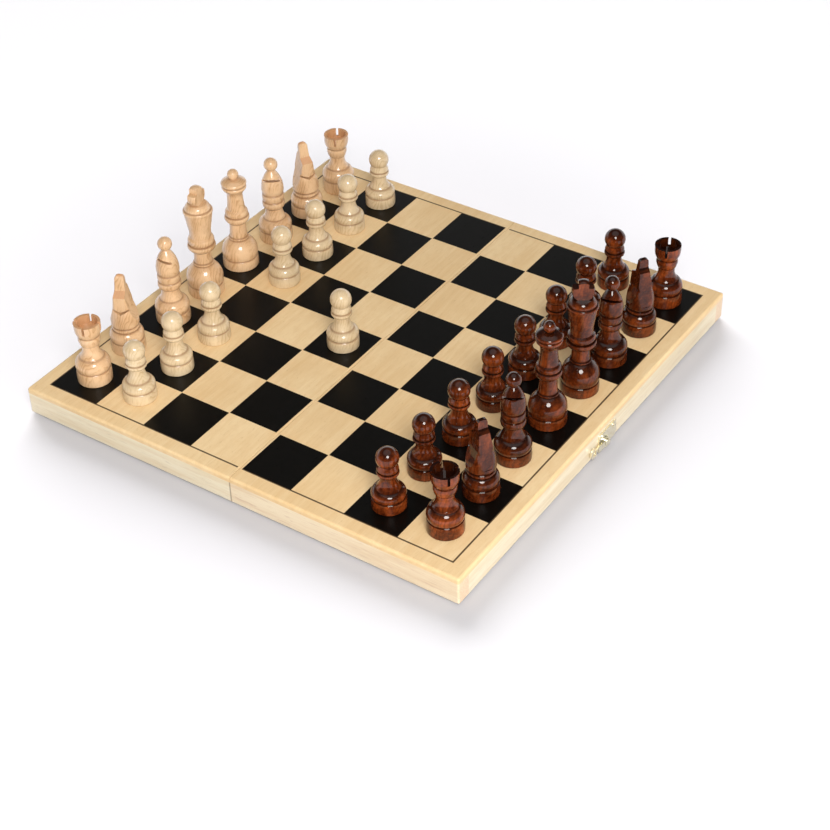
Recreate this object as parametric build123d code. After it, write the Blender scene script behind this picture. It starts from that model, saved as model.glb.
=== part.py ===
"""Folding wooden chess set: a hinged board that shuts into a box, and its 32 turned pieces.

Frame: the origin is the middle of the open board, on the plane that it lies on. +X runs from
the white end to the black end, +Y runs along the fold, and +Z is up. Sizes are millimetres.
Each half is an open tray turned upside down: a printed panel glued on four rails. The halves
fold about x = 0, z = 0, so that their hollow sides meet and the pieces lie inside.
"""
import os
from math import sqrt

from build123d import *

# ---------------------------------------------------------------- driving sizes
# Playing field
SQUARE = 30.0
SQUARES = 8
BORDER = 8.5

# Board halves
PANEL_THICK = 3.0
RAIL_HEIGHT = 12.0
RAIL_WIDTH = 8.0
EDGE_ROUND = 1.4
CORNER_ROUND = 1.2
SEAM_ROUND = 0.5
RIM_ROUND = 0.5

# Butt hinges under the fold
HINGE_SPACING = 150.0
LEAF_LENGTH = 22.0
LEAF_WIDTH = 6.6
LEAF_THICK = 0.8
LEAF_SUNK = 0.2
LEAF_PLAY = 0.15
KNUCKLE_RADIUS = 1.1
KNUCKLE_GAP = 0.3
PIN_RADIUS = 0.5
PIN_PLAY = 0.05
PIN_HEAD_RADIUS = 0.9
PIN_HEAD_THICK = 0.4
HINGE_SCREW_SPACING = 13.0

# Slotted screws, the same for the hinges, the clasp and the catch
SCREW_RADIUS = 0.6
SCREW_LENGTH = 5.5
SCREW_HEAD_RADIUS = 1.2
SCREW_HEAD_THICK = 0.5
SCREW_SLOT = 0.35
SCREW_PLAY = 0.05
HOLE_SPARE_DEPTH = 0.5

# Clasp on the black end rail
CLASP_THICK = 0.8
CLASP_LENGTH = 16.5
CLASP_HEIGHT = 9.0
CLASP_CORNER = 1.6
CLASP_FOOT = 1.2
CLASP_TAIL = 6.0
CLASP_SCREW_SPACING = 10.5
CLASP_SCREW_Z = 8.3
PIVOT_Y = 1.5
PIVOT_Z = 3.6
RIVET_RADIUS = 1.0
RIVET_HEAD_RADIUS = 1.9
RIVET_HEAD_THICK = 0.7
HOOK_THICK = 1.0
HOOK_PLAY = 0.1
HOOK_EYE_RADIUS = 2.9
HOOK_ARM_HALF = 1.9
HOOK_TIP = 3.5
CURL_OUTER = 2.9
CURL_INNER = 1.5

# Catch on the white end rail
CATCH_LENGTH = 12.5
CATCH_HEIGHT = 7.0
CATCH_Z = 5.4
CATCH_TAIL = 3.0
CATCH_SCREW_INSET = 3.0
CATCH_SCREW_SPACING = 3.6
STUD_RADIUS = 0.8
STUD_HEAD_RADIUS = 1.6
STUD_HEAD_THICK = 0.6
STUD_PLAY = 0.35

# Turned pieces: the foot that all of them share
FOOT_EASE = 0.6
FOOT_SWELL = 0.15
GROOVE_DEPTH = 0.55
GROOVE_WIDTH = 0.9
FOOT_RADIUS = {"pawn": 8.4, "rook": 8.9, "knight": 8.9, "bishop": 9.1, "queen": 9.7, "king": 9.7}
FOOT_HEIGHT = {"pawn": 5.9, "rook": 7.0, "knight": 6.3, "bishop": 6.0, "queen": 5.6, "king": 5.6}

# What is turned above the foot, from the shoulder up, as (radius, height, bulge)
PAWN_OUTLINE = [
    (6.7, 10.8, 0.8), (6.0, 11.2, 0), (5.7, 11.9, 0), (3.9, 17.2, -0.45), (3.9, 18.2, 0),
    (5.1, 19.4, 0), (5.1, 21.2, 0.3), (4.7, 21.4, 0), (4.9, 23.4, 0.3),
]
ROOK_OUTLINE = [
    (7.0, 13.8, 1.0), (6.3, 14.2, 0), (6.1, 14.8, 0), (4.3, 20.3, -0.6), (4.3, 21.6, 0),
    (5.3, 23.6, 0.2), (5.4, 26.8, 0.25), (5.2, 27.2, 0), (5.6, 27.6, 0), (6.7, 31.5, 0.25),
]
KNIGHT_OUTLINE = [
    (7.3, 12.2, 0.75), (6.5, 12.6, 0), (6.8, 13.1, 0), (6.8, 14.4, 0.2), (6.3, 14.9, 0),
    (7.3, 17.0, 0.35), (6.05, 26.5, 0.3), (6.0, 34.0, 0), (4.6, 42.0, 0), (3.6, 47.0, 0),
    (0, 47.0, 0),
]
BISHOP_OUTLINE = [
    (6.9, 12.6, 1.1), (6.1, 13.0, 0), (5.9, 13.8, 0), (4.5, 19.3, -0.3), (5.8, 20.7, 0),
    (5.9, 23.9, 0.35), (5.6, 24.3, 0), (5.8, 28.3, 0.3), (5.5, 28.8, 0), (6.05, 31.8, 0.2),
    (2.0, 42.6, 1.0),
]
QUEEN_OUTLINE = [
    (5.0, 16.8, 1.9), (5.3, 17.1, 0), (5.3, 17.9, 0.15), (4.8, 18.3, 0), (4.4, 26.4, -0.1),
    (6.3, 28.5, 0), (6.4, 31.2, 0.35), (5.8, 31.5, 0), (5.7, 34.5, 0.4),
    (4.9, 35.2, 0), (4.2, 43.9, -0.1), (5.9, 47.3, -0.3), (6.4, 48.0, 0),
    (6.4, 49.3, 0.15), (6.1, 49.7, 0), (6.5, 50.2, 0), (6.2, 52.1, 0.45), (2.0, 53.2, 0.3),
]
KING_OUTLINE = [
    (5.1, 17.6, 2.0), (5.4, 17.9, 0), (5.4, 18.8, 0.15), (4.9, 19.2, 0), (4.65, 25.6, -0.1),
    (7.0, 27.6, 0), (7.2, 30.2, 0.4), (6.4, 30.5, 0), (6.6, 33.9, 0.5),
    (5.7, 34.7, 0), (5.8, 38.5, 0), (7.6, 49.4, 0), (7.5, 51.1, 0.3), (6.9, 51.5, 0),
]

# The balls that close three outlines: radius, neck radius and height of the centre
PAWN_BALL = (5.5, 4.3, 28.4)
BISHOP_BALL = (3.8, 1.9, 46.2)
QUEEN_BALL = (3.05, 1.7, 55.9)

# The rook's cup and its crossing saw cuts
ROOK_RIM_Z = 35.0
ROOK_RIM_RADIUS = 6.8
ROOK_WALL = 1.4
ROOK_CUP_DRAFT = 0.3
ROOK_CUP_DEPTH = 4.7
ROOK_SLOT_WIDTH = 1.3
ROOK_SLOT_DEPTH = 4.3

# The bishop's saw cut
MITRE_CUT_WIDTH = 1.2
MITRE_CUT_Z = 36.6
MITRE_CUT_DEPTH = 5.2
MITRE_CUT_TILT = 20.0

# The king's dome and the cross on it, whose notches are half an outline of (across, height)
DOME_RADIUS = 5.0
DOME_TOP_Z = 54.6
DOME_BULGE = 0.4
CROSS_THICK = 4.6
CROSS_TOP_Z = 64.6
CROSS_BALL = 5.6
CROSS_SUNK = 2.0
CROSS_ARMS = [(3.9, 55.5), (7.0, 57.0), (7.0, 60.8), (2.4, 61.3), (2.6, 68.0)]

# The knight's saw cuts: its side view as (forward, height), and half its front view
KNIGHT_FACE = [(5.4, 33.8), (1.5, 36.0), (0.4, 42.6), (0.1, 43.8), (-0.6, 44.5)]
KNIGHT_BACK = [
    (-1.4, 44.5), (-2.0, 43.8), (-1.9, 39.0), (-2.7, 38.2), (-3.5, 36.6), (-4.0, 34.0), (-6.9, 18.0),
]
KNIGHT_NAPE_Z = 17.4
KNIGHT_FRONT = [(9.0, 16.8), (6.8, 19.2), (5.0, 24.0), (3.9, 28.0), (3.1, 33.5), (2.6, 38.0)]
EAR_RADIUS = 2.4
MOUTH_BACK = 3.3
MOUTH_Z = 24.2
MOUTH_GAP = 0.9
MOUTH_SLOPE = 0.44

# ---------------------------------------------------------------- derived sizes
HALF_LENGTH = SQUARE * SQUARES / 2 + BORDER
BOARD_TOP = RAIL_HEIGHT + PANEL_THICK
INSIDE_HALF = HALF_LENGTH - RAIL_WIDTH
POCKET_DEPTH = LEAF_SUNK + LEAF_THICK
EAR_TOP_Z = KNIGHT_BACK[0][1]
BLANK_REACH = 1.1 * max(FOOT_RADIUS.values())
HINGE_Y = {"near": -HINGE_SPACING / 2, "far": HINGE_SPACING / 2}
SIDES = {"white": -1, "black": 1}
TINY = 0.01


# ---------------------------------------------------------------- board halves
def half_box(side, x_span, y_span, z_span):
    """A block of one half. x_span is measured from the fold towards that half's end."""
    spans = (x_span, y_span, z_span)
    size = [high - low for low, high in spans]
    centre = [(low + high) / 2 for low, high in spans]
    return Pos(side * centre[0], centre[1], centre[2]) * Box(*size)


def edges_at(part, direction, x=None, y=None, z=None):
    """The edges of a part along one axis whose middles lie at the given x, y or z."""
    def lies_there(edge):
        middle = edge.center()
        wanted = ((middle.X, x), (middle.Y, y), (middle.Z, z))
        return all(place is None or abs(value - place) < TINY for value, place in wanted)

    return part.edges().filter_by(direction).filter_by(lies_there)


def panel(side):
    """The printed top panel. It covers the rails, and its outer edges are rounded over."""
    ends = (-HALF_LENGTH, HALF_LENGTH)
    plate = half_box(side, (0, HALF_LENGTH), ends, (RAIL_HEIGHT, BOARD_TOP))
    plate = fillet(edges_at(plate, Axis.Z, x=side * HALF_LENGTH), CORNER_ROUND)
    upper = plate.edges().filter_by(lambda edge: abs(edge.center().Z - BOARD_TOP) < TINY)
    outer = upper.filter_by(lambda edge: abs(edge.center().X) > TINY)
    plate = fillet(outer, EDGE_ROUND)
    return fillet(edges_at(plate, Axis.Y, x=0, z=BOARD_TOP), SEAM_ROUND)


def side_rail(side, end):
    """A rail along X. It runs the whole depth of the half, so its end grain shows."""
    y_span = sorted((end * INSIDE_HALF, end * HALF_LENGTH))
    rail = half_box(side, (0, HALF_LENGTH), y_span, (0, RAIL_HEIGHT))
    corner = edges_at(rail, Axis.Z, x=side * HALF_LENGTH, y=end * HALF_LENGTH)
    rail = fillet(corner, CORNER_ROUND)
    return fillet(edges_at(rail, Axis.X, y=end * HALF_LENGTH, z=0), RIM_ROUND)


def end_rail(side):
    """The rail at a player's end, between the side rails, drilled for the clasp or the catch."""
    x_span = (INSIDE_HALF, HALF_LENGTH)
    rail = half_box(side, x_span, (-INSIDE_HALF, INSIDE_HALF), (0, RAIL_HEIGHT))
    rail = fillet(edges_at(rail, Axis.Y, x=side * HALF_LENGTH, z=0), RIM_ROUND)
    fitting_z, shank, screw_places = FITTINGS[side]
    rail -= on_end(side, PIVOT_Y, fitting_z) * shank_hole(shank)
    for y, z in screw_places:
        rail -= on_end(side, y, z) * shank_hole(SCREW_RADIUS)
    return rail


def hinge_rail(side):
    """The rail along the fold, with a pocket for each hinge leaf and room for its knuckle."""
    rail = half_box(side, (0, RAIL_WIDTH), (-INSIDE_HALF, INSIDE_HALF), (0, RAIL_HEIGHT))
    pocket_half = LEAF_LENGTH / 2 + LEAF_PLAY
    relief_half = LEAF_LENGTH / 2 + PIN_HEAD_THICK + KNUCKLE_GAP
    for y in HINGE_Y.values():
        pocket_y = (y - pocket_half, y + pocket_half)
        rail -= half_box(side, (0, LEAF_WIDTH + LEAF_PLAY), pocket_y, (0, POCKET_DEPTH))
        rail -= rod_y(KNUCKLE_RADIUS + KNUCKLE_GAP, y - relief_half, y + relief_half)
        for screw_x, screw_y in hinge_screw_places(side, y):
            rail -= Pos(screw_x, screw_y, POCKET_DEPTH) * Rot(180, 0, 0) * shank_hole(SCREW_RADIUS)
    return rail


# ---------------------------------------------------------------- screws
def screw():
    """A slotted screw. Its head sits on z = 0 and its shank runs down."""
    head = Pos(0, 0, SCREW_HEAD_THICK / 2) * Cylinder(SCREW_HEAD_RADIUS, SCREW_HEAD_THICK)
    head -= Pos(0, 0, SCREW_HEAD_THICK) * Box(3 * SCREW_HEAD_RADIUS, SCREW_SLOT, SCREW_HEAD_THICK)
    return head + Pos(0, 0, -SCREW_LENGTH / 2) * Cylinder(SCREW_RADIUS, SCREW_LENGTH)


def shank_hole(radius):
    """A hole below z = 0, a little deeper and wider than the shank that it takes."""
    depth = SCREW_LENGTH + HOLE_SPARE_DEPTH
    return Pos(0, 0, -depth / 2) * Cylinder(radius + SCREW_PLAY, depth)


# ---------------------------------------------------------------- hinges
def rod_y(radius, low, high):
    """A round rod along Y, on the fold line."""
    return Pos(0, (low + high) / 2, 0) * Rot(90, 0, 0) * Cylinder(radius, high - low)


def hinge_screw_places(side, hinge_y):
    """Where the two screws of one hinge leaf go."""
    x = side * (LEAF_WIDTH + KNUCKLE_RADIUS + KNUCKLE_GAP) / 2
    return [(x, hinge_y + sign * HINGE_SCREW_SPACING / 2) for sign in (-1, 1)]


def knuckle_spans(side):
    """The stretches of knuckle on a leaf: the two outer ones on white, the middle on black."""
    middle = LEAF_LENGTH / 6
    outer = LEAF_LENGTH / 2
    gap = KNUCKLE_GAP / 2
    if side > 0:
        return [(-middle + gap, middle - gap)]
    return [(-outer, -middle - gap), (middle + gap, outer)]


def hinge_leaf(side, y):
    """A hinge leaf let into the rail, with its share of the knuckle."""
    half = LEAF_LENGTH / 2
    leaf = half_box(side, (0, LEAF_WIDTH), (-half, half), (LEAF_SUNK, POCKET_DEPTH))
    for low, high in knuckle_spans(-side):
        leaf -= rod_y(KNUCKLE_RADIUS + KNUCKLE_GAP, low - KNUCKLE_GAP, high + KNUCKLE_GAP)
    for low, high in knuckle_spans(side):
        leaf += rod_y(KNUCKLE_RADIUS, low, high)
    leaf -= rod_y(PIN_RADIUS + PIN_PLAY, -half, half)
    sink = LEAF_SUNK + SCREW_HEAD_THICK
    for screw_x, screw_y in hinge_screw_places(side, 0):
        leaf -= Pos(screw_x, screw_y, sink / 2) * Cylinder(SCREW_HEAD_RADIUS + SCREW_PLAY, sink)
        leaf -= Pos(screw_x, screw_y, 0) * Cylinder(SCREW_RADIUS + SCREW_PLAY, 3 * POCKET_DEPTH)
    return Pos(0, y, 0) * leaf


def hinge_pin(y):
    """The pin through a knuckle, with a flat head at each end."""
    half = LEAF_LENGTH / 2
    pin = rod_y(PIN_RADIUS, -half, half)
    pin += rod_y(PIN_HEAD_RADIUS, half, half + PIN_HEAD_THICK)
    pin += rod_y(PIN_HEAD_RADIUS, -half - PIN_HEAD_THICK, -half)
    return Pos(0, y, 0) * pin


def hinge_screws(side):
    """The screws of both leaves on one side, with their heads down."""
    seat = LEAF_SUNK + SCREW_HEAD_THICK
    places = [place for y in HINGE_Y.values() for place in hinge_screw_places(side, y)]
    return group([Pos(x, y, seat) * Rot(180, 0, 0) * screw() for x, y in places])


# ---------------------------------------------------------------- clasp and catch
def on_end(side, y, z):
    """A place on an end rail's outer face. Its local z points outward and its local y up."""
    plane = Plane(origin=(side * HALF_LENGTH, y, z), x_dir=(0, side, 0), z_dir=(side, 0, 0))
    return plane.location


def clasp_screw_places():
    """Where the clasp's two screws go, above the hook."""
    middle = PIVOT_Y - CLASP_TAIL + CLASP_LENGTH / 2
    return [(middle + sign * CLASP_SCREW_SPACING / 2, CLASP_SCREW_Z) for sign in (-1, 1)]


def catch_screw_places():
    """Where the catch's two screws go, clear of the hook's sweep."""
    y = PIVOT_Y - CATCH_TAIL + CATCH_LENGTH - CATCH_SCREW_INSET
    return [(y, CATCH_Z + sign * CATCH_SCREW_SPACING / 2) for sign in (-1, 1)]


# For each side: the height of its hook pivot or stud, that shank's radius, its screw places
FITTINGS = {
    SIDES["black"]: (PIVOT_Z, RIVET_RADIUS, clasp_screw_places()),
    SIDES["white"]: (CATCH_Z, STUD_RADIUS, catch_screw_places()),
}


def end_plate(side, y_low, z_low, length, height):
    """A round-cornered brass plate on an end rail, with its holes."""
    fitting_z, shank, screw_places = FITTINGS[side]
    outline = RectangleRounded(length, height, CLASP_CORNER)
    plate = on_end(side, y_low + length / 2, z_low + height / 2) * extrude(outline, CLASP_THICK)
    plate -= on_end(side, PIVOT_Y, fitting_z) * Cylinder(shank + SCREW_PLAY, 3 * CLASP_THICK)
    for y, z in screw_places:
        plate -= on_end(side, y, z) * Cylinder(SCREW_RADIUS + SCREW_PLAY, 3 * CLASP_THICK)
    return plate


def clasp_plate():
    """The plate that carries the hook."""
    y_low = PIVOT_Y - CLASP_TAIL
    return end_plate(SIDES["black"], y_low, CLASP_FOOT, CLASP_LENGTH, CLASP_HEIGHT)


def catch_plate():
    """The plate that carries the stud."""
    z_low = CATCH_Z - CATCH_HEIGHT / 2
    return end_plate(SIDES["white"], PIVOT_Y - CATCH_TAIL, z_low, CATCH_LENGTH, CATCH_HEIGHT)


def end_screws(side):
    """The screws of the clasp or of the catch."""
    places = FITTINGS[side][2]
    return group([on_end(side, y, z) * Pos(0, 0, CLASP_THICK) * screw() for y, z in places])


def clasp_rivet():
    """The rivet that the hook turns on. Its head holds the hook with a little play."""
    shank_length = SCREW_LENGTH + CLASP_THICK + HOOK_THICK + 2 * HOOK_PLAY
    head_z = CLASP_THICK + HOOK_THICK + 2 * HOOK_PLAY
    rivet = Pos(0, 0, head_z - shank_length / 2) * Cylinder(RIVET_RADIUS, shank_length)
    rivet += Pos(0, 0, head_z + RIVET_HEAD_THICK / 2) * Cylinder(RIVET_HEAD_RADIUS, RIVET_HEAD_THICK)
    return on_end(SIDES["black"], PIVOT_Y, PIVOT_Z) * domed(rivet)


def catch_stud():
    """The stud that the hook drops over. Its head stands clear of the hook."""
    head_z = CLASP_THICK + HOOK_THICK + HOOK_PLAY + STUD_PLAY
    shank_length = SCREW_LENGTH + head_z
    stud = Pos(0, 0, head_z - shank_length / 2) * Cylinder(STUD_RADIUS, shank_length)
    stud += Pos(0, 0, head_z + STUD_HEAD_THICK / 2) * Cylinder(STUD_HEAD_RADIUS, STUD_HEAD_THICK)
    return on_end(SIDES["white"], PIVOT_Y, CATCH_Z) * domed(stud)


def domed(pin):
    """Round over the outer edge of a pin's head, which faces local z."""
    top = pin.faces().sort_by(Axis.Z)[-1]
    return fillet(top.edges(), 0.6 * min(RIVET_HEAD_THICK, STUD_HEAD_THICK))


def clasp_hook():
    """The swinging hook, stowed along the rail. Its notch opens on the side that leads."""
    reach = PIVOT_Z + CATCH_Z
    arm_length = reach + HOOK_TIP
    arm = Pos(-arm_length / 2, 0) * Rectangle(arm_length, 2 * HOOK_ARM_HALF)
    curl_z = CURL_OUTER - HOOK_ARM_HALF
    ring = Circle(CURL_OUTER) - Circle(CURL_INNER)
    ring -= Pos(CURL_OUTER / 2, CURL_OUTER / 2) * Rectangle(CURL_OUTER, CURL_OUTER)
    curl = Pos(-arm_length, curl_z) * ring
    outline = Circle(HOOK_EYE_RADIUS) + arm + curl
    outline -= Pos(-arm_length, curl_z) * Circle(CURL_INNER)
    notch = STUD_RADIUS + STUD_PLAY
    outline -= Pos(-reach, 0) * Circle(notch)
    outline -= Pos(-reach, -HOOK_ARM_HALF) * Rectangle(2 * notch, 2 * HOOK_ARM_HALF)
    hook = extrude(outline, HOOK_THICK) - Cylinder(RIVET_RADIUS + SCREW_PLAY, 3 * HOOK_THICK)
    return on_end(SIDES["black"], PIVOT_Y, PIVOT_Z) * Pos(0, 0, CLASP_THICK + HOOK_PLAY) * hook


# ---------------------------------------------------------------- turning
def turned(outline, ball=None):
    """Turn an outline about Z, starting from its centre at z = 0.

    Each point is (radius, height, bulge). The stretch that leads to it is straight, or an arc
    that swells out by bulge, or is hollowed by it when negative. A ball, given as its radius,
    neck radius and centre height, closes the top.
    """
    start = Vector(0, 0, 0)
    edges = []
    for radius, height, bulge in outline:
        end = Vector(radius, 0, height)
        if bulge:
            along = (end - start).normalized()
            swell = Vector(along.Z, 0, -along.X) * bulge
            edges.append(ThreePointArc(start, (start + end) * 0.5 + swell, end))
        else:
            edges.append(Line(start, end))
        start = end
    if ball:
        radius, neck, centre = ball
        below = sqrt(radius**2 - neck**2)
        neck_point = Vector(neck, 0, centre - below)
        crown = Vector(0, 0, centre + radius)
        edges.append(Line(start, neck_point))
        edges.append(ThreePointArc(neck_point, Vector(radius, 0, centre), crown))
        start = crown
    edges.append(Line(start, Vector(0, 0, 0)))
    return revolve(make_face(edges), Axis.Z)


def foot(kind):
    """The start of every outline: a thick disc and a groove. A bell follows, up to the shoulder."""
    radius = FOOT_RADIUS[kind]
    height = FOOT_HEIGHT[kind]
    return [
        (radius - FOOT_EASE, 0, 0),
        (radius, FOOT_EASE, FOOT_SWELL),
        (radius - FOOT_SWELL, height, FOOT_SWELL),
        (radius - GROOVE_DEPTH, height + GROOVE_WIDTH / 2, 0),
        (radius - 2 * FOOT_SWELL, height + GROOVE_WIDTH, 0),
    ]


def pawn():
    """A ball on a double collar."""
    return turned(foot("pawn") + PAWN_OUTLINE, PAWN_BALL)


def rook():
    """A cup whose rim has two crossing saw cuts."""
    inner = ROOK_RIM_RADIUS - ROOK_WALL
    floor_z = ROOK_RIM_Z - ROOK_CUP_DEPTH
    cup = [(ROOK_RIM_RADIUS, ROOK_RIM_Z, 0), (inner, ROOK_RIM_Z, 0)]
    cup += [(inner - ROOK_CUP_DRAFT, floor_z, 0), (0, floor_z, 0)]
    body = turned(foot("rook") + ROOK_OUTLINE + cup)
    cut_z = ROOK_RIM_Z - ROOK_SLOT_DEPTH / 2
    for angle in (0, 90):
        cut = Box(3 * ROOK_RIM_RADIUS, ROOK_SLOT_WIDTH, ROOK_SLOT_DEPTH)
        body -= Pos(0, 0, cut_z) * Rot(0, 0, angle) * cut
    return body


def bishop():
    """A mitre with a slanted saw cut, under a small ball."""
    body = turned(foot("bishop") + BISHOP_OUTLINE, BISHOP_BALL)
    cut = Box(2 * MITRE_CUT_DEPTH, 4 * MITRE_CUT_DEPTH, MITRE_CUT_WIDTH)
    cut = Pos(-MITRE_CUT_DEPTH, 0, 0) * cut
    return body - Pos(0, 0, MITRE_CUT_Z) * Rot(0, MITRE_CUT_TILT, 0) * cut


def queen():
    """A ball on a domed crown, over a stem with a double collar."""
    return turned(foot("queen") + QUEEN_OUTLINE, QUEEN_BALL)


def king():
    """A flared crown with a dome, over a stem with a double collar, and a flat cross on top."""
    dome = [(DOME_RADIUS, DOME_TOP_Z, DOME_BULGE), (0, DOME_TOP_Z, 0)]
    return turned(foot("king") + KING_OUTLINE + dome) + cross()


def sawn(plane, outline):
    """A prism with the given outline, long enough to shape a piece right through."""
    return extrude(plane * Polygon(*outline, align=None), 2 * BLANK_REACH, both=True)


def both_sides(half_outline):
    """An outline closed by its own reflection in the upright axis."""
    return half_outline + [(-across, up) for across, up in reversed(half_outline) if across]


def cross():
    """The king's cross: a ball sawn flat on two sides, with notches that leave its arms."""
    ball = Pos(0, 0, CROSS_TOP_Z - CROSS_BALL) * Sphere(CROSS_BALL)
    slab = Box(CROSS_THICK, 4 * CROSS_BALL, 4 * CROSS_TOP_Z)
    root = (CROSS_ARMS[0][0], DOME_TOP_Z - CROSS_SUNK)
    return ball & slab & sawn(Plane.YZ, both_sides([root] + CROSS_ARMS))


def vee_cut(x, low, high):
    """What lies ahead of x, between two V-shaped lines whose lowest points are low and high."""
    rise = MOUTH_SLOPE * BLANK_REACH
    half = [(0, low), (BLANK_REACH, low + rise), (BLANK_REACH, high + rise), (0, high)]
    return extrude(Plane.YZ.offset(x) * Polygon(*both_sides(half), align=None), BLANK_REACH)


def knight():
    """A horse head sawn from a turned blank, with flat cheeks and face, round ears and a mouth."""
    muzzle_x, nose_z = KNIGHT_FACE[0]
    chest = [(BLANK_REACH, 0), (BLANK_REACH, nose_z)]
    nape = [(-BLANK_REACH, KNIGHT_NAPE_Z), (-BLANK_REACH, 0)]
    side_view = sawn(Plane.XZ, chest + KNIGHT_FACE + KNIGHT_BACK + nape)
    ear_z = EAR_TOP_Z - EAR_RADIUS
    half_front = [(BLANK_REACH, 0)] + KNIGHT_FRONT + [(EAR_RADIUS, ear_z)]
    front_view = sawn(Plane.YZ, both_sides(half_front))
    front_view += Pos(0, 0, ear_z) * Rot(0, 90, 0) * Cylinder(EAR_RADIUS, 4 * BLANK_REACH)
    head = turned(foot("knight") + KNIGHT_OUTLINE) & side_view & front_view
    head -= vee_cut(MOUTH_BACK, MOUTH_Z, MOUTH_Z + MOUTH_GAP)
    return head - vee_cut(muzzle_x, MOUTH_Z, nose_z)


# ---------------------------------------------------------------- the set-up on the board
MAKERS = {"pawn": pawn, "rook": rook, "knight": knight, "bishop": bishop, "queen": queen, "king": king}
FLANK = ["rook", "knight", "bishop"]
BACK_ROWS = {
    "white": FLANK + ["king", "queen"] + FLANK[::-1],
    "black": FLANK + ["queen", "king"] + FLANK[::-1],
}

# The ranks of each colour, counted from the white end, and the one pawn that has moved
BACK_RANK = {"white": 0, "black": 7}
PAWN_RANK = {"white": 1, "black": 6}
MOVED_PAWN = {"white_pawn_4": 3}

# How far each piece is turned about its axis
TURN = {
    "white_rook_1": 24, "white_rook_2": 30, "black_rook_1": 49, "black_rook_2": 20,
    "white_knight_1": -64, "white_knight_2": -30, "black_knight_1": 150, "black_knight_2": 144,
    "white_bishop_1": 70, "white_bishop_2": 126, "black_bishop_1": 121, "black_bishop_2": 105,
    "white_king": 11, "black_king": -54,
}

# How far each piece stands off the middle of its square, where it isn't set down squarely
NUDGE = {
    "white_rook_1": (0.5, 1.0), "white_rook_2": (0.6, 0.6), "white_knight_1": (-2.3, 0.0),
    "white_knight_2": (0.1, 0.9), "white_bishop_1": (1.0, 2.1), "white_bishop_2": (0.5, 1.4),
    "white_queen": (-0.1, 0.7), "white_king": (-0.2, 0.8), "white_pawn_1": (-0.5, 1.7),
    "black_rook_1": (0.2, 1.7), "black_rook_2": (0.2, 0.8), "black_knight_1": (0.1, 1.8),
    "black_knight_2": (0.8, 1.7), "black_bishop_1": (-0.5, 0.8), "black_bishop_2": (0.2, 1.6),
    "black_queen": (-0.9, 3.2), "black_king": (-0.2, 3.1), "black_pawn_1": (-0.6, 1.3),
}


def standing_place(name, rank, file):
    """Where a piece stands. Squares are counted from the white end and from the near side."""
    middle = (SQUARES - 1) / 2
    nudge = NUDGE.get(name, (0, 0))
    return ((rank - middle) * SQUARE + nudge[0], (file - middle) * SQUARE + nudge[1])


def set_up():
    """Every piece as (node name, kind, rank, file)."""
    pieces = []
    for colour, row in BACK_ROWS.items():
        for file, kind in enumerate(row):
            twin = "" if row.count(kind) == 1 else f"_{1 + row[:file].count(kind)}"
            pieces.append((f"{colour}_{kind}{twin}", kind, BACK_RANK[colour], file))
        for file in range(SQUARES):
            name = f"{colour}_pawn_{file + 1}"
            pieces.append((name, "pawn", MOVED_PAWN.get(name, PAWN_RANK[colour]), file))
    return pieces


# ---------------------------------------------------------------- nodes
def group(solids):
    """Separate solids that share one node."""
    return Compound(children=[solid for item in solids for solid in item.solids()])


def board_nodes():
    """The board's own pieces, by node name."""
    nodes = {}
    for colour, side in SIDES.items():
        nodes[f"{colour}_panel"] = panel(side)
        nodes[f"{colour}_end_rail"] = end_rail(side)
        nodes[f"{colour}_hinge_rail"] = hinge_rail(side)
        nodes[f"{colour}_near_rail"] = side_rail(side, -1)
        nodes[f"{colour}_far_rail"] = side_rail(side, 1)
        nodes[f"{colour}_hinge_screws"] = hinge_screws(side)
        for place, y in HINGE_Y.items():
            nodes[f"{colour}_hinge_leaf_{place}"] = hinge_leaf(side, y)
    for place, y in HINGE_Y.items():
        nodes[f"hinge_pin_{place}"] = hinge_pin(y)
    nodes["clasp_plate"] = clasp_plate()
    nodes["clasp_hook"] = clasp_hook()
    nodes["clasp_rivet"] = clasp_rivet()
    nodes["clasp_screws"] = end_screws(SIDES["black"])
    nodes["catch_plate"] = catch_plate()
    nodes["catch_stud"] = catch_stud()
    nodes["catch_screws"] = end_screws(SIDES["white"])
    return nodes


def piece_nodes():
    """The chess pieces, each standing on its square."""
    models = {kind: make() for kind, make in MAKERS.items()}
    nodes = {}
    for name, kind, rank, file in set_up():
        x, y = standing_place(name, rank, file)
        nodes[name] = Pos(x, y, BOARD_TOP) * Rot(0, 0, TURN.get(name, 0)) * models[kind]
    return nodes


os.makedirs("parts", exist_ok=True)
for node, shape in {**board_nodes(), **piece_nodes()}.items():
    export_step(shape, f"parts/{node}.step")
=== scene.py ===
import bpy
from math import radians
from mathutils import Matrix, Vector


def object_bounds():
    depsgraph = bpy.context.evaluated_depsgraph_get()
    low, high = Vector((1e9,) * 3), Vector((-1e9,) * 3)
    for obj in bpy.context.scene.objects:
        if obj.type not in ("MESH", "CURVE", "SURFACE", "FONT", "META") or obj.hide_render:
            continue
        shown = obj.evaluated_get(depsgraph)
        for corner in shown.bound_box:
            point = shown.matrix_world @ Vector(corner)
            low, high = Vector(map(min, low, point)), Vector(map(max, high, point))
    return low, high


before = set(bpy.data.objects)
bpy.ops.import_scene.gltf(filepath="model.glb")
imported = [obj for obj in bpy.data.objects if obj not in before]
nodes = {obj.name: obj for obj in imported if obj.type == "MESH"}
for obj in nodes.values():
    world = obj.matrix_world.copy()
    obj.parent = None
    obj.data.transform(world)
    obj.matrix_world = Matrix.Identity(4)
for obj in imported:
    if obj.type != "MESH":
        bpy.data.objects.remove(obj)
cad_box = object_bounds()

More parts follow.
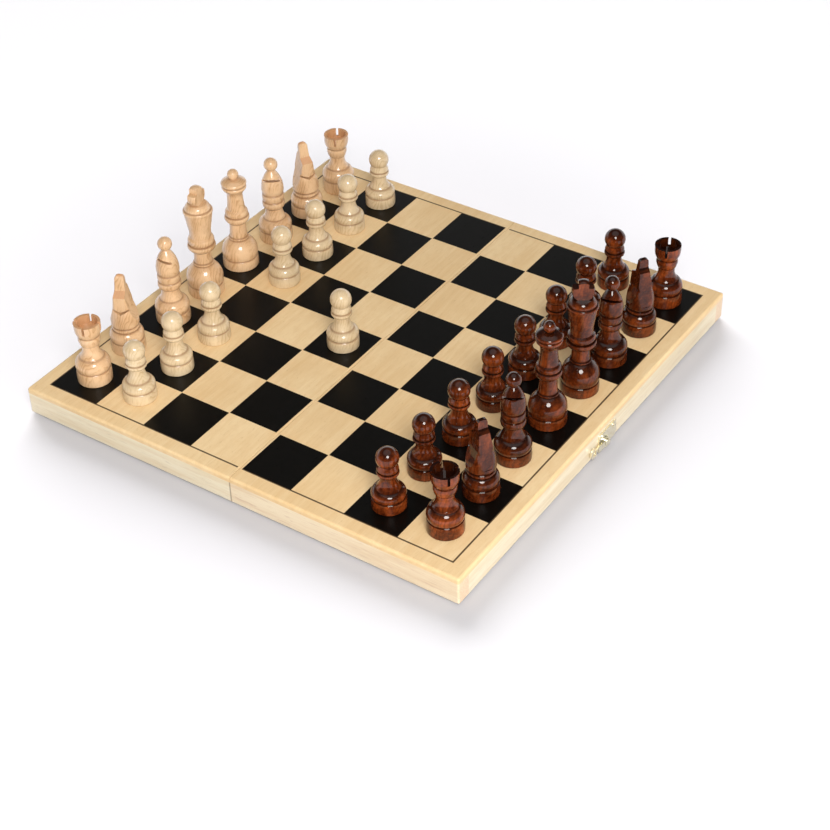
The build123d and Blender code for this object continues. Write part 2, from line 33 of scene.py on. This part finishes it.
# ------------------------------------------------------------------ The camera
# A long lens on a stand, above the near corner between the fold and the dark pieces, and
# rolled a little, as a camera held by hand is.
CAMERA_PLACE = (0.4575, -0.6279, 0.5946)
CAMERA_AZIMUTH = 35.004
CAMERA_ELEVATION = 39.067
CAMERA_ROLL = -1.765
SENSOR_WIDTH = 36.0
LENS = 81.9
NEAREST_SEEN = 0.05
FARTHEST_SEEN = 20.0
camera_data = bpy.data.cameras.new("camera")
camera_data.sensor_width = SENSOR_WIDTH
camera_data.lens = LENS
camera_data.clip_start = NEAREST_SEEN
camera_data.clip_end = FARTHEST_SEEN
camera = bpy.data.objects.new("camera", camera_data)
bpy.context.scene.collection.objects.link(camera)
turn = Matrix.Rotation(radians(CAMERA_AZIMUTH), 4, "Z")
tilt = Matrix.Rotation(radians(90 - CAMERA_ELEVATION), 4, "X")
roll = Matrix.Rotation(radians(CAMERA_ROLL), 4, "Z")
camera.matrix_world = Matrix.Translation(CAMERA_PLACE) @ turn @ tilt @ roll
bpy.context.scene.camera = camera

# ------------------------------------------------------------------ The board's panels
# Two sheets of pale plywood veneer, sealed with a satin lacquer. The dark squares and the
# thin line round the field are printed on the veneer, and stop short of the seam.
MM_PER_M = 1000.0


class Amount:
    """A number that changes over a surface. Arithmetic on it adds Math nodes to its finish."""

    def __init__(self, finish, socket):
        self.finish = finish
        self.socket = socket

    def __add__(self, other):
        return self.finish.math("ADD", self, other)

    def __sub__(self, other):
        return self.finish.math("SUBTRACT", self, other)

    def __rsub__(self, other):
        return self.finish.math("SUBTRACT", other, self)

    def __mul__(self, other):
        return self.finish.math("MULTIPLY", self, other)

    def __truediv__(self, other):
        return self.finish.math("DIVIDE", self, other)

    def __rtruediv__(self, other):
        return self.finish.math("DIVIDE", other, self)

    def __mod__(self, other):
        return self.finish.math("FLOORED_MODULO", self, other)

    def __rmod__(self, other):
        return self.finish.math("FLOORED_MODULO", other, self)

    def __lt__(self, other):
        return self.finish.math("LESS_THAN", self, other)

    def __gt__(self, other):
        return self.finish.math("GREATER_THAN", self, other)

    def __abs__(self):
        return self.finish.math("ABSOLUTE", self)

    __radd__ = __add__
    __rmul__ = __mul__


class Recipe:
    """The shading nodes of one finish, or of the light from all round."""

    def __init__(self, tree):
        self.tree = tree

    def node(self, kind, settings, inputs):
        made = self.tree.nodes.new(kind)
        for name, value in settings.items():
            setattr(made, name, value)
        for name, value in inputs.items():
            self.connect(value, made.inputs[name])
        return made

    def connect(self, value, socket):
        value = getattr(value, "socket", value)
        if isinstance(value, bpy.types.NodeSocket):
            self.tree.links.new(value, socket)
        else:
            socket.default_value = value

    def math(self, operation, *values):
        made = self.node("ShaderNodeMath", {"operation": operation}, dict(enumerate(values)))
        return Amount(self, made.outputs[0])

    def ease(self, value, low, high):
        """0 below low, 1 above high, and a smooth step between them."""
        settings = {"interpolation_type": "SMOOTHSTEP"}
        inputs = {"Value": value, "From Min": low, "From Max": high}
        return Amount(self, self.node("ShaderNodeMapRange", settings, inputs).outputs["Result"])

    def split(self, vector):
        """The x, y and z of a vector."""
        parts = self.node("ShaderNodeSeparateXYZ", {}, {0: vector})
        return [Amount(self, socket) for socket in parts.outputs]

    def mix(self, share, first, second):
        """A colour between the first one, at 0, and the second one, at 1."""
        inputs = {0: share, 6: first, 7: second}
        return self.node("ShaderNodeMix", {"data_type": "RGBA"}, inputs).outputs[2]


class Finish(Recipe):
    """A finish for a surface: wood, print, lacquer or metal. Lengths in it are millimetres."""

    def __init__(self, name):
        self.material = bpy.data.materials.new(name)
        self.material.use_nodes = True
        super().__init__(self.material.node_tree)
        self.surface = self.tree.nodes["Principled BSDF"]

    def place(self):
        """Where on the set a point lies, as x, y and z in millimetres."""
        where = self.node("ShaderNodeTexCoord", {}, {}).outputs["Object"]
        inputs = {0: where, "Scale": MM_PER_M}
        return self.split(self.node("ShaderNodeVectorMath", {"operation": "SCALE"}, inputs).outputs[0])

    def facing(self):
        """The way a point's surface faces, as x, y and z."""
        return self.split(self.node("ShaderNodeTexCoord", {}, {}).outputs["Normal"])

    def noise(self, x, y, z, detail=3.0, roughness=0.5, distortion=0.0):
        """Noise whose lumps are about as large as one unit of x, y and z."""
        vector = self.node("ShaderNodeCombineXYZ", {}, {0: x, 1: y, 2: z}).outputs[0]
        inputs = {"Vector": vector, "Scale": 1.0, "Detail": detail, "Roughness": roughness}
        inputs["Distortion"] = distortion
        return Amount(self, self.node("ShaderNodeTexNoise", {}, inputs).outputs[0])

    def relief(self, height, depth, strength=1.0, edge=0.0):
        """A surface normal for a height from 0 to 1 that stands for a depth in millimetres.

        Where edge isn't 0, edges look rounded over to that radius in millimetres.
        """
        inputs = {"Height": height, "Distance": depth / MM_PER_M, "Strength": strength}
        if edge:
            bevel = self.node("ShaderNodeBevel", {}, {"Radius": edge / MM_PER_M})
            inputs["Normal"] = bevel.outputs[0]
        self.connect(self.node("ShaderNodeBump", {}, inputs).outputs[0], self.surface.inputs["Normal"])

    def surface_of(self, colour, roughness, **plain):
        """Set the surface's colour, its roughness and its plain values."""
        self.connect(colour, self.surface.inputs["Base Color"])
        self.connect(roughness, self.surface.inputs["Roughness"])
        for name, value in plain.items():
            self.surface.inputs[name.replace("_", " ")].default_value = value

    def dress(self, *names):
        """Give this finish to nodes of the frame."""
        for name in names:
            slots = nodes[name].material_slots
            for slot in slots:
                slot.material = self.material


SQUARE = 30.0
FIELD_HALF = 4 * SQUARE
BOARD_TOP = 15.0
TOP_SKIN = 0.1
# How far the print stays off the seam, and off the edges of its squares
PRINT_STOP = 1.3
PRINT_GAP = 0.12
PRINT_SOFTNESS = 0.05
PRINT_WOBBLE = 0.16
LINE_WIDTH = 0.9
LINE_SOFTNESS = 0.08
# The groove between the halves, with painted shade: where it is darkest, and its reach, to each side
GROOVE_MIDDLE = 0.15
GROOVE_REACH = 0.65
VENEER_PALE = (0.90, 0.685, 0.40, 1)
VENEER_DEEP = (0.78, 0.535, 0.27, 1)
VENEER_PORE = (0.50, 0.30, 0.14, 1)
VENEER_FLECK = (0.50, 0.29, 0.12, 1)
PRINT_BLACK = (0.0022, 0.0018, 0.0013, 1)
WORN_BLACK = (0.006, 0.005, 0.004, 1)
LINE_BROWN = (0.035, 0.014, 0.006, 1)
SEAM_SHADE = (0.16, 0.07, 0.03, 1)


def seam_shade(finish, x):
    """1 in the rounded groove between the two halves, where shade is painted, 0 elsewhere."""
    return 1 - finish.ease(abs(x), GROOVE_MIDDLE, GROOVE_REACH)


def wood_figure(finish, across, along, up):
    """Broad bands and fine pores of a board sawn along its grain, each from 0 to 1."""
    wander = finish.noise(across * 0.03, along * 0.012, up * 0.03, 2.0)
    bands = finish.noise(across * 0.32 + wander * 3.0, along * 0.018, up * 0.32, 4.0, 0.6)
    pores = finish.noise(across * 3.2, along * 0.14, up * 3.2, 2.0, 0.6)
    return bands, pores


veneer = Finish("printed_veneer")
x, y, z = veneer.place()
bands, pores = wood_figure(veneer, x, y, z)
blotches = veneer.noise(x * 0.03, y * 0.02, z * 0.03, 2.0)
figure = veneer.ease(bands, 0.25, 0.75) * 0.5 + veneer.ease(blotches, 0.3, 0.7) * 0.5
wood = veneer.mix(figure, VENEER_PALE, VENEER_DEEP)
wood = veneer.mix(veneer.ease(pores, 0.52, 0.78) * 0.3, wood, VENEER_PORE)
clouds = veneer.noise(x * 0.24, y * 0.13, z, 3.0, 0.6)
wood = veneer.mix(veneer.ease(clouds, 0.42, 0.68) * 0.3, wood, VENEER_DEEP)
flecks = veneer.noise(x * 1.5, y * 0.35, z, 2.0, 0.5)
wood = veneer.mix(veneer.ease(flecks, 0.66, 0.74) * 0.3, wood, VENEER_FLECK)

on_top = z > BOARD_TOP - TOP_SKIN
edge_wobble = (veneer.noise(x * 0.9, y * 0.9, z, 3.0) - 0.5) * PRINT_WOBBLE
column = veneer.math("FLOOR", x / SQUARE)
row = veneer.math("FLOOR", y / SQUARE)
dark_square = 1 - (column + row) % 2
inset_x = 0.5 * SQUARE - abs(x - (column + 0.5) * SQUARE)
inset_y = 0.5 * SQUARE - abs(y - (row + 0.5) * SQUARE)
inside_square = veneer.math("MINIMUM", inset_x, inset_y) + edge_wobble
inked = veneer.ease(inside_square, PRINT_GAP - PRINT_SOFTNESS, PRINT_GAP + PRINT_SOFTNESS)
reach = veneer.math("MAXIMUM", abs(x), abs(y)) + edge_wobble * 0.5
off_seam = veneer.ease(abs(x), PRINT_STOP - PRINT_SOFTNESS, PRINT_STOP + PRINT_SOFTNESS)
inked = inked * dark_square * (reach < FIELD_HALF) * off_seam * on_top
off_line = abs(reach - FIELD_HALF)
line_edge = LINE_WIDTH / 2
beside_line = veneer.ease(off_line, line_edge - LINE_SOFTNESS, line_edge + LINE_SOFTNESS)
lined = (1 - beside_line) * off_seam * on_top
wear = veneer.noise(x * 0.25, y * 0.25, z, 5.0, 0.7)

ink = veneer.mix(veneer.ease(wear, 0.45, 0.8) * 0.5, PRINT_BLACK, WORN_BLACK)
colour = veneer.mix(lined * 0.9, wood, LINE_BROWN)
colour = veneer.mix(inked, colour, ink)
# Painted shade in the groove between the halves
colour = veneer.mix(seam_shade(veneer, x) * 0.15, colour, SEAM_SHADE)
gloss = 0.36 + pores * 0.10 - inked * 0.14 + wear * 0.06
veneer.surface_of(colour, gloss, IOR=1.27)
veneer.relief(pores * (1 - inked * 0.6) + inked * 0.8, 0.03, 0.5)
veneer.dress("white_panel", "black_panel")

# ------------------------------------------------------------------ The rails
# Solid pale hardwood strips under the panels, glued at butt joints and sanded flush, so the
# end grain of the side rails shows at the corners. They have one coat of lacquer.

# Each blank's lightest colour, its deepest one and its streaks
PALE_BLANK = ((0.88, 0.78, 0.58, 1), (0.79, 0.65, 0.435, 1), (0.60, 0.50, 0.36, 1))
WARM_BLANK = ((0.88, 0.735, 0.52, 1), (0.78, 0.59, 0.38, 1), (0.60, 0.40, 0.27, 1))
RAIL_PORE = (0.52, 0.34, 0.17, 1)
END_GRAIN_PALE = (0.86, 0.66, 0.46, 1)
END_GRAIN_DEEP = (0.72, 0.48, 0.29, 1)


def rail_finish(name, lengthways, blank):
    """The rails' wood, with its grain along X or Y."""
    light, deep, streak = blank
    rail = Finish(name)
    x, y, z = rail.place()
    face_x, face_y, _ = rail.facing()
    across, along = (y, x) if lengthways == "X" else (x, y)
    end_face = abs(face_x) if lengthways == "X" else abs(face_y)
    bands, pores = wood_figure(rail, across, along, z)
    colour = rail.mix(rail.ease(bands, 0.3, 0.72), light, deep)
    streaks = rail.noise(across * 0.8, along * 0.11, z * 0.9, 3.0, 0.6, 0.5)
    colour = rail.mix(rail.ease(streaks, 0.55, 0.75) * 0.5, colour, streak)
    colour = rail.mix(rail.ease(pores, 0.55, 0.8) * 0.25, colour, RAIL_PORE)
    speckle = rail.noise(x * 2.2, y * 2.2, z * 2.2, 3.0, 0.6)
    end_grain = rail.mix(rail.ease(speckle, 0.4, 0.7), END_GRAIN_PALE, END_GRAIN_DEEP)
    colour = rail.mix(rail.ease(end_face, 0.8, 0.95), colour, end_grain)
    # Painted shade in the groove between the halves
    colour = rail.mix(seam_shade(rail, x) * 0.6, colour, SEAM_SHADE)
    rail.surface_of(colour, 0.36 + pores * 0.12, IOR=1.45, Coat_Weight=0.2, Coat_Roughness=0.2)
    rail.relief(pores, 0.04, 0.5)
    return rail


white_sides = rail_finish("pale_rail_wood_along_x", "X", PALE_BLANK)
white_sides.dress("white_near_rail", "white_far_rail")
black_sides = rail_finish("warm_rail_wood_along_x", "X", WARM_BLANK)
black_sides.dress("black_near_rail", "black_far_rail")
cross_rails = rail_finish("pale_rail_wood_along_y", "Y", PALE_BLANK)
cross_rails.dress("white_end_rail", "black_end_rail", "white_hinge_rail", "black_hinge_rail")

# ------------------------------------------------------------------ Hinges, clasp and catch
# Stamped brass, thinly plated and lacquered, with slotted brass screws. It has fine rubbing
# marks and dulls a little where fingers don't reach.
BRIGHT_BRASS = (1.0, 0.95, 0.76, 1)
DULL_BRASS = (0.80, 0.69, 0.44, 1)
brass = Finish("bright_brass")
x, y, z = brass.place()
tarnish = brass.noise(x * 0.5, y * 0.5, z * 0.5, 4.0, 0.6)
rubbing = brass.noise(x * 6.0, y * 0.5, z * 3.0, 2.0, 0.6)
colour = brass.mix(brass.ease(tarnish, 0.45, 0.75) * 0.5, BRIGHT_BRASS, DULL_BRASS)
brass.surface_of(colour, 0.18 + tarnish * 0.15 + rubbing * 0.1, Metallic=1.0)
brass.relief(rubbing, 0.02, 0.4)
metal = ["clasp_plate", "clasp_hook", "clasp_rivet", "clasp_screws"]
metal += ["catch_plate", "catch_stud", "catch_screws", "hinge_pin_near", "hinge_pin_far"]
for side in ("white", "black"):
    metal += [f"{side}_hinge_screws", f"{side}_hinge_leaf_near", f"{side}_hinge_leaf_far"]
brass.dress(*metal)

# ------------------------------------------------------------------ The chessmen
# Each is turned from one wooden blank with its grain upright, so that the growth rings show
# as contours on its curves. The pale ones have clear gloss lacquer. The dark ones are stained
# red-brown and varnished, and their sawn end grain has soaked up more stain. Surfaces that
# face up or down carry painted shade, and the cuts between rings burn lines and painted shade.
COUNTS = {"rook": 2, "knight": 2, "bishop": 2, "queen": 1, "king": 1, "pawn": 8}


def names_of(side, kind):
    """The frame's nodes of one kind and side."""
    if COUNTS[kind] == 1:
        return [f"{side}_{kind}"]
    return [f"{side}_{kind}_{i + 1}" for i in range(COUNTS[kind])]


# Heights above the board of the cuts between rings, with burn lines and painted shade
CUT_HEIGHTS = {
    "pawn": (6.35, 11.4, 21.4),
    "rook": (7.45, 14.5, 27.3),
    "knight": (6.75, 12.7, 14.9),
    "bishop": (6.45, 13.4, 24.2, 28.6),
    "queen": (6.05, 17.0, 18.3, 31.5, 49.9),
    "king": (6.05, 17.8, 19.2, 30.5, 51.5),
}
# Half the width of a cut, and of its bottom
CUT_REACH = 0.75
CUT_BOTTOM = 0.1
# How far the knights' sawn edges are sanded over
KNIGHT_EDGE = 0.5
# Heights above which a rook and a knight show end grain
ROOK_CUP_FLOOR = 29.5
KNIGHT_BROW = 33.0


class Turning(Finish):
    """The wood of one kind of chessman: its figure, where its finish changes, and where shade is
    painted.
    """

    def __init__(self, name, kind, ring_spacing):
        super().__init__(name)
        self.kind = kind
        x, y, z = self.place()
        column = self.math("FLOOR", x / SQUARE)
        row = self.math("FLOOR", y / SQUARE)
        self.across = (x - (column + 0.5) * SQUARE, y - (row + 0.5) * SQUARE)
        self.height = z - BOARD_TOP
        warp = self.noise(x * 0.09, y * 0.09, z * 0.05, 3.0) * 12.0
        pith_x = self.across[0] - 14 - (column * 3.7 + row * 2.3) % 9
        pith_y = self.across[1] - 6 + (column * 5.1 + row * 4.9) % 13
        from_pith = self.math("POWER", pith_x * pith_x + pith_y * pith_y, 0.5) + warp + z * 0.2
        rings = (from_pith / ring_spacing) % 1
        self.late_wood = self.ease(rings, 0.45, 0.95) * (1 - self.ease(rings, 0.95, 1.0))
        self.pores = self.noise(x * 2.6, y * 2.6, z * 0.3, 3.0, 0.6)
        self.patches = self.noise(x * 0.16, y * 0.16, z * 0.1, 3.0, 0.55)
        self.mottle = self.noise(x * 0.55, y * 0.55, z * 0.9, 3.0, 0.55, 0.5)
        # Painted shade: 1 where the surface faces straight up or down
        self.level_face_shade = self.ease(abs(self.facing()[2]), 0.25, 0.9)

    def in_cuts(self):
        """1 at the bottom of the cuts between rings, 0 elsewhere."""
        found = 0.0
        for cut in CUT_HEIGHTS[self.kind]:
            found = found + (1 - self.ease(abs(self.height - cut), CUT_BOTTOM, CUT_REACH))
        return found

    def end_grain(self):
        """1 on the sawn end grain, which drinks in more finish: a rook's cup, a knight's brow."""
        face_x, face_y, face_z = self.facing()
        if self.kind == "rook":
            inward = (face_x * self.across[0] + face_y * self.across[1]) < -0.5
            flat = self.ease(face_z, 0.6, 0.8)
            return self.math("MAXIMUM", inward, flat) * (self.height > ROOK_CUP_FLOOR)
        if self.kind == "knight":
            return self.ease(face_z, 0.25, 0.5) * (self.height > KNIGHT_BROW)
        return 0.0


# Each tone's lightest colour, its deepest one and its end grain
PALE = ((0.80, 0.54, 0.315, 1), (0.56, 0.32, 0.15, 1), (0.60, 0.28, 0.12, 1))
PALE_PAWN = ((0.76, 0.60, 0.385, 1), (0.58, 0.42, 0.235, 1), (0.6, 0.4, 0.2, 1))
PALE_PORE = (0.38, 0.20, 0.09, 1)
CUT_SHADE_AND_BURN = (0.26, 0.12, 0.05, 1)
PALE_RING = 1.6


def pale_finish(kind):
    """Clear-lacquered pale wood. The pawns are of a paler, greener blank than the others."""
    wood = Turning(f"pale_lacquered_{kind}", kind, PALE_RING)
    light, deep, end = PALE_PAWN if kind == "pawn" else PALE
    ring_lines = wood.late_wood * wood.ease(wood.patches, 0.3, 0.7)
    colour = wood.mix(wood.ease(wood.patches, 0.3, 0.75) * 0.5 + ring_lines * 0.8, light, deep)
    # Painted shade darkens surfaces that face up or down
    colour = wood.mix(wood.level_face_shade * 0.45, colour, deep)
    colour = wood.mix(wood.ease(wood.pores, 0.52, 0.78) * 0.35, colour, PALE_PORE)
    colour = wood.mix(wood.end_grain() * 0.6, colour, end)
    # Burn lines and painted shade in the cuts between rings
    colour = wood.mix(wood.in_cuts() * 0.6, colour, CUT_SHADE_AND_BURN)
    wood.surface_of(colour, 0.35 + wood.pores * 0.08, IOR=1.35, Coat_Roughness=0.11)
    wood.connect(0.95 - wood.in_cuts() * 0.8, wood.surface.inputs["Coat Weight"])
    edge = KNIGHT_EDGE if kind == "knight" else 0.0
    wood.relief(wood.pores + wood.late_wood * 0.5, 0.02, 0.35, edge)
    return wood


STAIN_LIGHT = (0.34, 0.066, 0.012, 1)
STAIN_MID = (0.070, 0.011, 0.002, 1)
STAIN_DARK = (0.008, 0.002, 0.001, 1)
STAINED_RING = 2.1
# How much more stain than the rooks each kind has taken
EXTRA_STAIN = {"pawn": 0.05, "rook": 0.0, "queen": 0.25, "king": 0.3, "knight": 0.4, "bishop": 0.5}


def stained_finish(kind):
    """Red-brown varnished wood, darker on its sawn end grain, with painted shade where it faces up or
    down and in its cuts.
    """
    wood = Turning(f"red_varnished_{kind}", kind, STAINED_RING)
    flashes = wood.ease(wood.mottle, 0.42, 0.75) * 0.3 + wood.ease(wood.patches, 0.38, 0.72) * 0.7
    colour = wood.mix(flashes, STAIN_MID, STAIN_LIGHT)
    colour = wood.mix(EXTRA_STAIN[kind], colour, STAIN_DARK)
    colour = wood.mix(wood.late_wood * 0.35, colour, STAIN_DARK)
    colour = wood.mix(wood.ease(wood.pores, 0.5, 0.75) * 0.25, colour, STAIN_DARK)
    # Painted shade darkens surfaces that face up or down
    colour = wood.mix(wood.level_face_shade * 0.8, colour, STAIN_DARK)
    colour = wood.mix(wood.end_grain() * 0.8, colour, STAIN_DARK)
    # Burn lines and painted shade in the cuts between rings
    colour = wood.mix(wood.in_cuts() * 0.5, colour, STAIN_DARK)
    wood.surface_of(colour, 0.4 + wood.pores * 0.1, IOR=1.02, Coat_Roughness=0.06, Coat_IOR=1.45)
    wood.connect(1 - wood.in_cuts() * 0.8, wood.surface.inputs["Coat Weight"])
    edge = KNIGHT_EDGE if kind == "knight" else 0.0
    wood.relief(wood.mottle + wood.late_wood * 0.5, 0.03, 0.15, edge)
    return wood


for kind in COUNTS:
    pale_finish(kind).dress(*names_of("white", kind))
    stained_finish(kind).dress(*names_of("black", kind))

# ------------------------------------------------------------------ The studio
# A wide floor, a soft box beside the camera, a weaker one low in front, and a surround that
# glows overhead and low down at the back. A sun lamp at the back lights the floor alone, so
# that it is white but for the board's soft shadow.
FLOOR_SIZE = 40.0
FLOOR_GREY = (0.46, 0.455, 0.47, 1)
# What the floor adds of its own where it is seen, near the board and far from it, and the
# distances from the middle of the board between which that changes
NEAR_LIFT = (0.11, 0.105, 0.115, 1)
FAR_LIFT = (0.24, 0.24, 0.24, 1)
LIFT_FROM = 140.0
LIFT_TO = 320.0
UNLIT = (0, 0, 0, 1)

floor_mesh = bpy.data.meshes.new("floor")
half_floor = FLOOR_SIZE / 2
corners = [(-half_floor, -half_floor, 0), (half_floor, -half_floor, 0)]
corners += [(half_floor, half_floor, 0), (-half_floor, half_floor, 0)]
floor_mesh.from_pydata(corners, [], [(0, 1, 2, 3)])
floor = bpy.data.objects.new("floor", floor_mesh)
floor.location.z = cad_box[0].z
bpy.context.scene.collection.objects.link(floor)

paper = Finish("pale_floor")
x, y, z = paper.place()
from_middle = paper.math("POWER", x * x + y * y, 0.5)
lift = paper.mix(paper.ease(from_middle, LIFT_FROM, LIFT_TO), NEAR_LIFT, FAR_LIFT)
paper.surface_of(FLOOR_GREY, 0.9, IOR=1.1, Emission_Strength=1.0)
path = paper.node("ShaderNodeLightPath", {}, {})
seen = paper.math("MAXIMUM", path.outputs["Is Camera Ray"], path.outputs["Is Glossy Ray"])
paper.connect(paper.mix(seen, UNLIT, lift), paper.surface.inputs["Emission Color"])
floor_mesh.materials.append(paper.material)


def lamp_from(name, kind, place, power):
    """A lamp that faces the middle of the board."""
    data = bpy.data.lights.new(name, kind)
    data.energy = power
    lamp = bpy.data.objects.new(name, data)
    lamp.location = place
    lamp.rotation_euler = Vector(place).to_track_quat("Z", "Y").to_euler()
    bpy.context.scene.collection.objects.link(lamp)
    return lamp


def soft_box(name, place, power, width):
    """A round lamp, as wide as given."""
    box = lamp_from(name, "AREA", place, power)
    box.data.shape = "DISK"
    box.data.size = width
    return box


CAMERA_BOX_PLACE = (0.62, -0.70, 0.86)
CAMERA_BOX_POWER = 12.2
CAMERA_BOX_WIDTH = 0.50
WARM_WHITE = (1.0, 0.98, 0.95)
LOW_BOX_PLACE = (0.98, -0.62, 0.22)
LOW_BOX_POWER = 6.5
LOW_BOX_WIDTH = 0.6
camera_box = soft_box("lamp_by_camera", CAMERA_BOX_PLACE, CAMERA_BOX_POWER, CAMERA_BOX_WIDTH)
camera_box.data.color = WARM_WHITE
# The low one fills in the sides, and doesn't show in the varnish
low_box = soft_box("lamp_low_in_front", LOW_BOX_PLACE, LOW_BOX_POWER, LOW_BOX_WIDTH)
low_box.visible_glossy = False

# The floor's own sun. Only the board stands in its way
SUN_PLACE = (-0.62, 0.62, 0.36)
SUN_POWER = 8.2
SUN_SPREAD = 50
board_parts = [name for name in nodes if "panel" in name or "rail" in name]
lit = bpy.data.collections.new("lit_by_floor_sun")
lit.objects.link(floor)
in_the_way = bpy.data.collections.new("in_the_way_of_floor_sun")
for name in board_parts:
    in_the_way.objects.link(nodes[name])
sun = lamp_from("floor_sun", "SUN", SUN_PLACE, SUN_POWER)
sun.data.angle = radians(SUN_SPREAD)
sun.light_linking.receiver_collection = lit
sun.light_linking.blocker_collection = in_the_way

# The surround: how bright it is low down at the back, low down in front, higher up and
# overhead, and the steps between them. Heights in it are those of a point on a unit sphere.
LOW_BACK = 1.7
LOW_FRONT = 0.07
UPPER = 0.07
OVERHEAD = 0.75
BACK_X, BACK_Y = -0.59, 0.81
BACK_STEP = (-0.1, 0.7)
UPPER_STEP = (0.2, 0.5)
OVERHEAD_STEP = (0.78, 0.92)
WHITE = (1, 1, 1, 1)
world = bpy.data.worlds.new("surround")
world.use_nodes = True
bpy.context.scene.world = world
surround = Recipe(world.node_tree)
x, y, z = surround.split(surround.node("ShaderNodeTexCoord", {}, {}).outputs["Generated"])
backward = surround.ease(x * BACK_X + y * BACK_Y, *BACK_STEP)
low = backward * (LOW_BACK - LOW_FRONT) + LOW_FRONT
upper = surround.ease(z, *UPPER_STEP)
overhead = surround.ease(z, *OVERHEAD_STEP)
glow = low * (1 - upper) + upper * UPPER + overhead * OVERHEAD
background = world.node_tree.nodes["Background"]
background.inputs["Color"].default_value = WHITE
surround.connect(glow, background.inputs["Strength"])

bpy.context.scene.view_settings.view_transform = "Standard"
